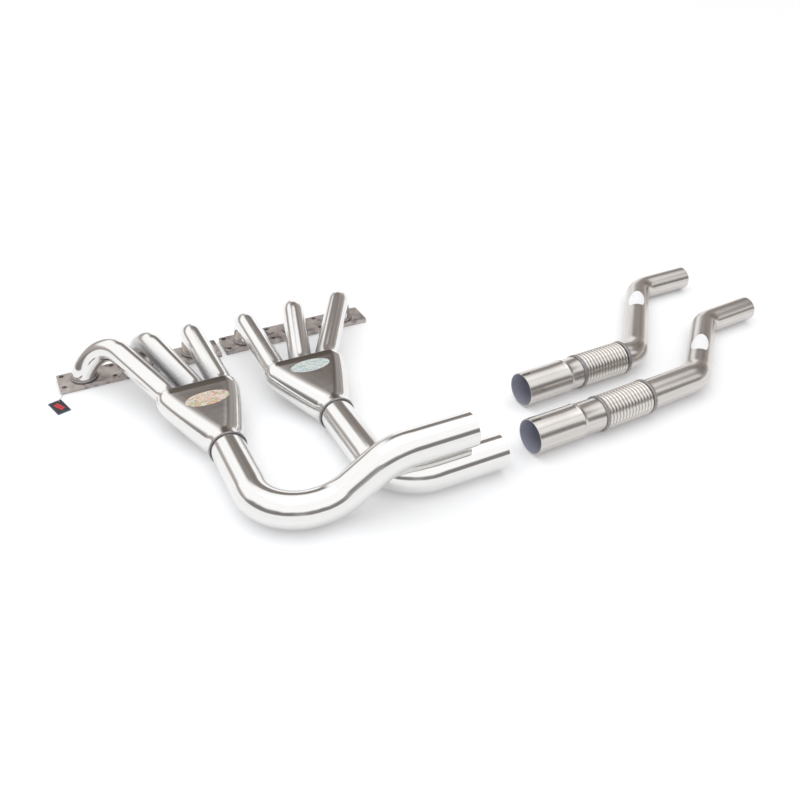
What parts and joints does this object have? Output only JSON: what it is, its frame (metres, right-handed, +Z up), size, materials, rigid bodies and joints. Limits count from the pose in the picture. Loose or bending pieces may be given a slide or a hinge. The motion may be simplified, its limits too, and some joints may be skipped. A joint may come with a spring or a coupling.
{
  "type": "racing exhaust system",
  "caption": "Polished tubular exhaust for a straight-six race engine: tubular manifolds with bolt-on port bars and merge collectors, and slip-on link pipes with corrugated flex sections and jogged tails.",
  "frame": {"origin": "on the floor under the middle of the whole laid-out set", "axes": "+X along the port flanges towards the tail ends, +Y from the collectors towards the flanges, +Z up; the flanges lie face down on z = 0"},
  "size_m": [1.4248, 0.6506, 0.1262],
  "materials": {
    "polished_tube": "hand-polished stainless, near mirror",
    "brushed_tube": "satin stainless with long brush lines",
    "flex_steel": "fine corrugated braid-like sheet, satin",
    "weld_steel": "rippled weld bead, dark heat tint",
    "flange_steel": "raw cut plate with brown and blue heat tint",
    "tag_card": "black satin card with a plain red mark",
    "tag_wire": "thin bright wire"
  },
  "bodies": {
    "front_manifold": {"front_flange": "flange_steel", "front_primary_1": "polished_tube", "front_primary_2": "polished_tube", "front_primary_3": "polished_tube", "front_port_weld_1": "weld_steel", "front_port_weld_2": "weld_steel", "front_port_weld_3": "weld_steel", "front_collector": "polished_tube", "front_merge_plate": "weld_steel", "front_outlet_weld": "weld_steel", "front_outlet_tube": "polished_tube"},
    "rear_manifold": {"rear_flange": "flange_steel", "rear_primary_1": "polished_tube", "rear_primary_2": "polished_tube", "rear_primary_3": "polished_tube", "rear_port_weld_1": "weld_steel", "rear_port_weld_2": "weld_steel", "rear_port_weld_3": "weld_steel", "rear_collector": "polished_tube", "rear_merge_plate": "weld_steel", "rear_outlet_weld": "weld_steel", "rear_outlet_tube": "polished_tube"},
    "front_link": {"front_link_sleeve": "brushed_tube", "front_flex_inlet_collar": "weld_steel", "front_flex_bellows": "flex_steel", "front_flex_liner": "brushed_tube"},
    "front_link_tail": {"front_flex_outlet_collar": "weld_steel", "front_link_tube": "brushed_tube"},
    "rear_link": {"rear_link_sleeve": "brushed_tube", "rear_flex_inlet_collar": "weld_steel", "rear_flex_bellows": "flex_steel", "rear_flex_liner": "brushed_tube"},
    "rear_link_tail": {"rear_flex_outlet_collar": "weld_steel", "rear_link_tube": "brushed_tube"},
    "tag": {"tag_wire": "tag_wire", "tag_card": "tag_card"}
  },
  "joints": [
    {"name": "front_manifold_lift", "type": "slide", "parent": "rear_manifold", "child": "front_manifold", "axis": [0, 0, 1], "range_m": [0, 0.15]},
    {"name": "front_link_lift", "type": "slide", "parent": "rear_manifold", "child": "front_link", "axis": [0, 0, 1], "range_m": [0, 0.15]},
    {"name": "front_flex_bend", "type": "hinge", "parent": "front_link", "child": "front_link_tail", "pos_m": [0.21118, -0.28028, 0.0334], "axis": [0, 0, 1], "range_deg": [-6, 6], "stiffness_Nm_per_rad": 20},
    {"name": "rear_link_lift", "type": "slide", "parent": "rear_manifold", "child": "rear_link", "axis": [0, 0, 1], "range_m": [0, 0.15]},
    {"name": "rear_flex_bend", "type": "hinge", "parent": "rear_link", "child": "rear_link_tail", "pos_m": [0.26305, -0.14829, 0.0334], "axis": [0, 0, 1], "range_deg": [-6, 6], "stiffness_Nm_per_rad": 20},
    {"name": "tag_swing", "type": "hinge", "parent": "front_manifold", "child": "tag", "pos_m": [-0.67706, 0.27283, 0.006], "axis": [0, 0, 1], "range_deg": [0, 35]}
  ]
}
